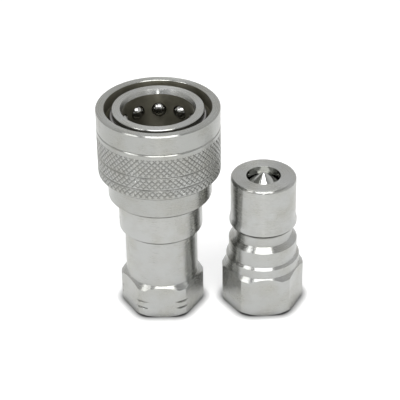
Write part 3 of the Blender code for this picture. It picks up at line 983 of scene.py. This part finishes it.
def flow_slot(x, number, rim_z, slots_r):
    """A curved slot's cutter: a thick arc with round ends."""
    arc_steps, end_steps = 32, 12
    middle = (slots_r[0] + slots_r[1]) / 2
    half = (slots_r[1] - slots_r[0]) / 2
    clear = math.asin((SPOKE_HALF + half) / middle)
    start = 2 * math.pi * number / 3 + clear
    sweep = 2 * math.pi / 3 - 2 * clear
    rim = []
    for radius, angles in ((slots_r[1], (0, 1)), (slots_r[0], (1, 0))):
        for k in range(arc_steps + 1):
            angle = start + sweep * (angles[0] + (angles[1] - angles[0]) * k / arc_steps)
            rim.append((radius * math.cos(angle), radius * math.sin(angle)))
        end = start + sweep * angles[1]
        for k in range(1, end_steps):
            turn = math.pi * k / end_steps + (0 if radius == slots_r[1] else math.pi)
            out = half * math.cos(turn)
            on = half * math.sin(turn)
            along = Vector((math.cos(end), math.sin(end)))
            across = Vector((-math.sin(end), math.cos(end)))
            point = along * (middle + out) + across * on
            rim.append((point.x, point.y))
    shape = bmesh.new()
    top, bottom = rim_z[0] + 1, rim_z[1] - 1
    low, high = ([shape.verts.new((px * MM, py * MM, z * MM)) for px, py in rim] for z in (bottom, top))
    shape.faces.new(low)
    shape.faces.new(high[::-1])
    for i in range(len(rim)):
        j = (i + 1) % len(rim)
        shape.faces.new((low[i], high[i], high[j], low[j]))
    return in_scene("flow_slot", outward_mesh("flow_slot", shape), x)


def socket_valve():
    head_z, stem_r = 35.0, 2.6
    valve_poppet(
        "socket_poppet",
        SOCKET_X,
        SOCKET_SEAT_R,
        SOCKET_SEAT_Z,
        nose=(0.8, 44.3, 4.6, 41.1),
        groove=(38.1, 36.9, 5.7),
        head_r=8.2,
        head_z=head_z,
        stem_r=stem_r,
        stem_z=19.5,
    )
    low = GUIDE_POCKET_Z + 0.1
    valve_guide(
        "socket_valve_guide",
        SOCKET_X,
        "socket",
        rim_r=7.6,
        rim_z=(low + GUIDE_THICKNESS, low),
        hub_r=3.6,
        hub_z=(26.5, 20.5),
        stem_r=stem_r,
        slots_r=(5.3, 7.0),
    )
    coil_spring(
        "socket_poppet_spring",
        SOCKET_X,
        "socket_poppet",
        radius=4.6,
        diameter=1.0,
        bottom=low + GUIDE_THICKNESS + SPRING_GAP,
        top=head_z - SPRING_GAP,
        turns=5.5,
    )


def nipple_body():
    tip_edge = []
    steps = 7
    for step in range(steps + 1):
        angle = math.pi / 2 * (1 - step / steps)
        inward, down = 1 - math.cos(angle), 1 - math.sin(angle)
        tip_edge.append((TIP_R - TIP_ROUND * inward, NIPPLE_TOP_Z - TIP_ROUND * down))
    outline = [
        (NIPPLE_SEAT_R, NIPPLE_TOP_Z),
        *tip_edge,
        (TIP_R, TIP_END_Z),
        (SHOULDER_R, SHOULDER_Z[0]),
        (SHOULDER_R, SHOULDER_Z[1]),
        SHOULDER_END,
        (LOCK_GROOVE_R + 0.1, LOCK_GROOVE_Z[0] + 0.5),
        (LOCK_GROOVE_R, LOCK_GROOVE_Z[0]),
        (LOCK_GROOVE_R, LOCK_GROOVE_Z[1]),
        (COLLAR_R, COLLAR_Z[0]),
        (COLLAR_R, COLLAR_Z[1]),
        (REAR_COLLAR_R, REAR_COLLAR_Z),
        (REAR_COLLAR_R, NIPPLE_HEX_TOP_Z),
        (NIPPLE_HEX_CORNER_R, NIPPLE_HEX_CORNER_Z),
    ]
    chamber_z = NIPPLE_SEAT_Z - (NIPPLE_CHAMBER_R - NIPPLE_SEAT_R)
    ring_low, ring_high = GUIDE_RING_Z - GUIDE_RING_GROOVE_HALF, GUIDE_RING_Z + GUIDE_RING_GROOVE_HALF
    outline += port_outline(NIPPLE_HEX_CORNER_R)
    outline += [
        (NIPPLE_CHAMBER_R, PORT_DEPTH + PORT_R - NIPPLE_CHAMBER_R),
        (NIPPLE_CHAMBER_R, ring_low),
        (GUIDE_RING_GROOVE_R, ring_low),
        (GUIDE_RING_GROOVE_R, ring_high),
        (NIPPLE_CHAMBER_R, ring_high),
        (NIPPLE_CHAMBER_R, chamber_z),
        (NIPPLE_SEAT_R, NIPPLE_SEAT_Z),
    ]
    mesh = turned_mesh("nipple_body", rounded(outline), surface=port_thread)
    body = in_scene("nipple_body_finished", mesh, NIPPLE_X)
    cut(body, [hex_flats(NIPPLE_HEX_TOP_Z + 1, NIPPLE_HEX_TURN, NIPPLE_X)])
    seat_hole = (POLISHED_ZINC, NIPPLE_SEAT_R + 0.02, NIPPLE_SEAT_Z - 1, NIPPLE_TOP_Z)
    finished(body, ZINC, "nipple", "zinc_plated_steel", "nipple_body", sharp=20, inner=seat_hole)


def nipple_valve():
    head_z, stem_r = 36.0, 2.15
    valve_poppet(
        "nipple_poppet",
        NIPPLE_X,
        NIPPLE_SEAT_R,
        NIPPLE_SEAT_Z,
        nose=(0.4, 43.1, 4.6, 39.6),
        groove=(38.2, 37.4, 4.2),
        head_r=6.1,
        head_z=head_z,
        stem_r=stem_r,
        stem_z=15.2,
    )
    low = GUIDE_RING_Z + GUIDE_RING_WIRE / 2 + 0.1
    valve_guide(
        "nipple_valve_guide",
        NIPPLE_X,
        "nipple",
        rim_r=6.72,
        rim_z=(low + GUIDE_THICKNESS, low),
        hub_r=3.0,
        hub_z=(22.0, 15.8),
        stem_r=stem_r,
        slots_r=(4.7, 6.1),
    )
    coil_spring(
        "nipple_poppet_spring",
        NIPPLE_X,
        "nipple_poppet",
        radius=4.0,
        diameter=0.9,
        bottom=low + GUIDE_THICKNESS + SPRING_GAP,
        top=head_z - SPRING_GAP,
        turns=7.5,
    )
    snap_ring(
        "nipple_guide_ring",
        NIPPLE_X,
        "nipple",
        radius=6.8,
        diameter=GUIDE_RING_WIRE,
        z=GUIDE_RING_Z,
        opening=40,
        facing=90,
    )


# Studio


def camera():
    data = bpy.data.cameras.new("camera")
    data.lens = VIEW_LENS
    data.clip_start = 0.01
    data.clip_end = 20
    view = bpy.data.objects.new("camera", data)
    bpy.context.scene.collection.objects.link(view)
    turn = Matrix.Rotation(math.pi / 2 - VIEW_TILT, 4, "X") @ Matrix.Rotation(VIEW_ROLL, 4, "Z")
    back = Vector((0, -math.cos(VIEW_TILT), math.sin(VIEW_TILT)))
    place = Vector(VIEW_AIM) * MM + back * VIEW_DISTANCE * MM
    view.matrix_world = Matrix.Translation(place) @ turn
    bpy.context.scene.camera = view


def floor():
    """A pale floor with a faint glow round the parts, and a painted contact shadow where they stand."""
    mesh = bpy.data.meshes.new("floor")
    corners = [(x * FLOOR_HALF, y * FLOOR_HALF, 0) for x, y in ((-1, -1), (1, -1), (1, 1), (-1, 1))]
    mesh.from_pydata(corners, [], [(0, 1, 2, 3)])
    made, tree, shader = blank_material("pale_floor")
    place = node(tree, "TexCoord").outputs["Object"]
    grain = noise(tree, place, 900.0, 3.0)
    # Painted contact shadow: the floor's colour and its glow are darkened where ambient occlusion finds the
    # parts close
    open_share = node(tree, "AmbientOcclusion", {"Distance": CONTACT_REACH}).outputs["AO"]
    contact_shadow = maths(tree, "POWER", open_share, CONTACT_DEPTH)
    far = node(tree, "VectorMath", {0: place}, operation="LENGTH").outputs["Value"]
    glow = maths(tree, "MULTIPLY", ranged(tree, far, *FLOOR_GLOW_END, FLOOR_GLOW, 0), contact_shadow)
    pale = mixed(tree, grain, (0.84, 0.84, 0.84), (0.82, 0.82, 0.82))
    set_inputs(
        tree,
        shader,
        base_color=mixed(tree, contact_shadow, (0, 0, 0), pale),
        roughness=0.9,
        emission_strength=glow,
    )
    shader.inputs["Emission Color"].default_value = (1, 1, 1, 1)
    mesh.materials.append(made)
    in_scene("floor", mesh)


def softbox(name, direction, distance, size, power):
    """A rectangular light that faces the middle of the pair, with its lengths in metres."""
    data = bpy.data.lights.new(name, "AREA")
    data.shape = "RECTANGLE"
    data.size, data.size_y = size
    data.energy = power
    light = bpy.data.objects.new(name, data)
    bpy.context.scene.collection.objects.link(light)
    way = Vector(direction).normalized()
    light.location = LIGHTS_AIM + way * distance
    light.rotation_euler = (-way).to_track_quat("-Z", "Y").to_euler()


def world():
    """A light tent: pale walls, a dim ceiling, and a dark opening on the camera's side."""
    made = bpy.data.worlds.new("tent")
    made.use_nodes = True
    tree = made.node_tree
    way = node(tree, "TexCoord").outputs["Generated"]
    up = node(tree, "SeparateXYZ", {0: way}).outputs["Z"]
    opening = node(tree, "VectorMath", {0: way, 1: TENT_OPENING}, operation="DOT_PRODUCT").outputs["Value"]
    ceiling = ranged(tree, up, *TENT_CEILING_EDGE, TENT_WALL, TENT_TOP)
    dark = ranged(tree, opening, *TENT_OPENING_EDGE, 1.0, TENT_DARK)
    light = maths(tree, "MULTIPLY", ceiling, dark)
    background = tree.nodes["Background"]
    background.inputs["Color"].default_value = (1, 1, 1, 1)
    tree.links.new(light, background.inputs["Strength"])
    bpy.context.scene.world = made


camera()
floor()
world()
softbox("top_softbox", direction=(0.05, -0.5, 0.86), distance=0.5, size=(0.36, 0.28), power=1.7)
softbox("left_softbox", direction=(-0.66, -0.42, 0.8), distance=0.6, size=(0.2, 0.12), power=0.45)
softbox("rear_softbox", direction=(0, 0.39, 0.92), distance=0.6, size=(0.3, 0.2), power=0.38)
softbox("front_strip", direction=(0, -0.97, 0.23), distance=0.6, size=(0.07, 0.05), power=0.2)
softbox("back_strip", direction=(0, 0.95, 0.31), distance=0.6, size=(0.05, 0.09), power=0.025)
bpy.context.scene.view_settings.view_transform = "Standard"

socket_body()
socket_adapter()
locking_sleeve()
locking_balls()
snap_ring(
    "sleeve_snap_ring",
    SOCKET_X,
    "socket",
    radius=SNAP_RING_R,
    diameter=SNAP_RING_WIRE,
    z=SNAP_RING_Z,
    opening=14,
    facing=162,
)
coil_spring(
    "sleeve_spring",
    SOCKET_X,
    "sleeve_drawback",
    radius=13.65,
    diameter=0.9,
    bottom=SPRING_FLANGE_Z[0] + SPRING_GAP,
    top=SPRING_ROOM_TOP_Z - SPRING_GAP,
    turns=5.5,
)
socket_seals()
socket_valve()
nipple_body()
nipple_valve()
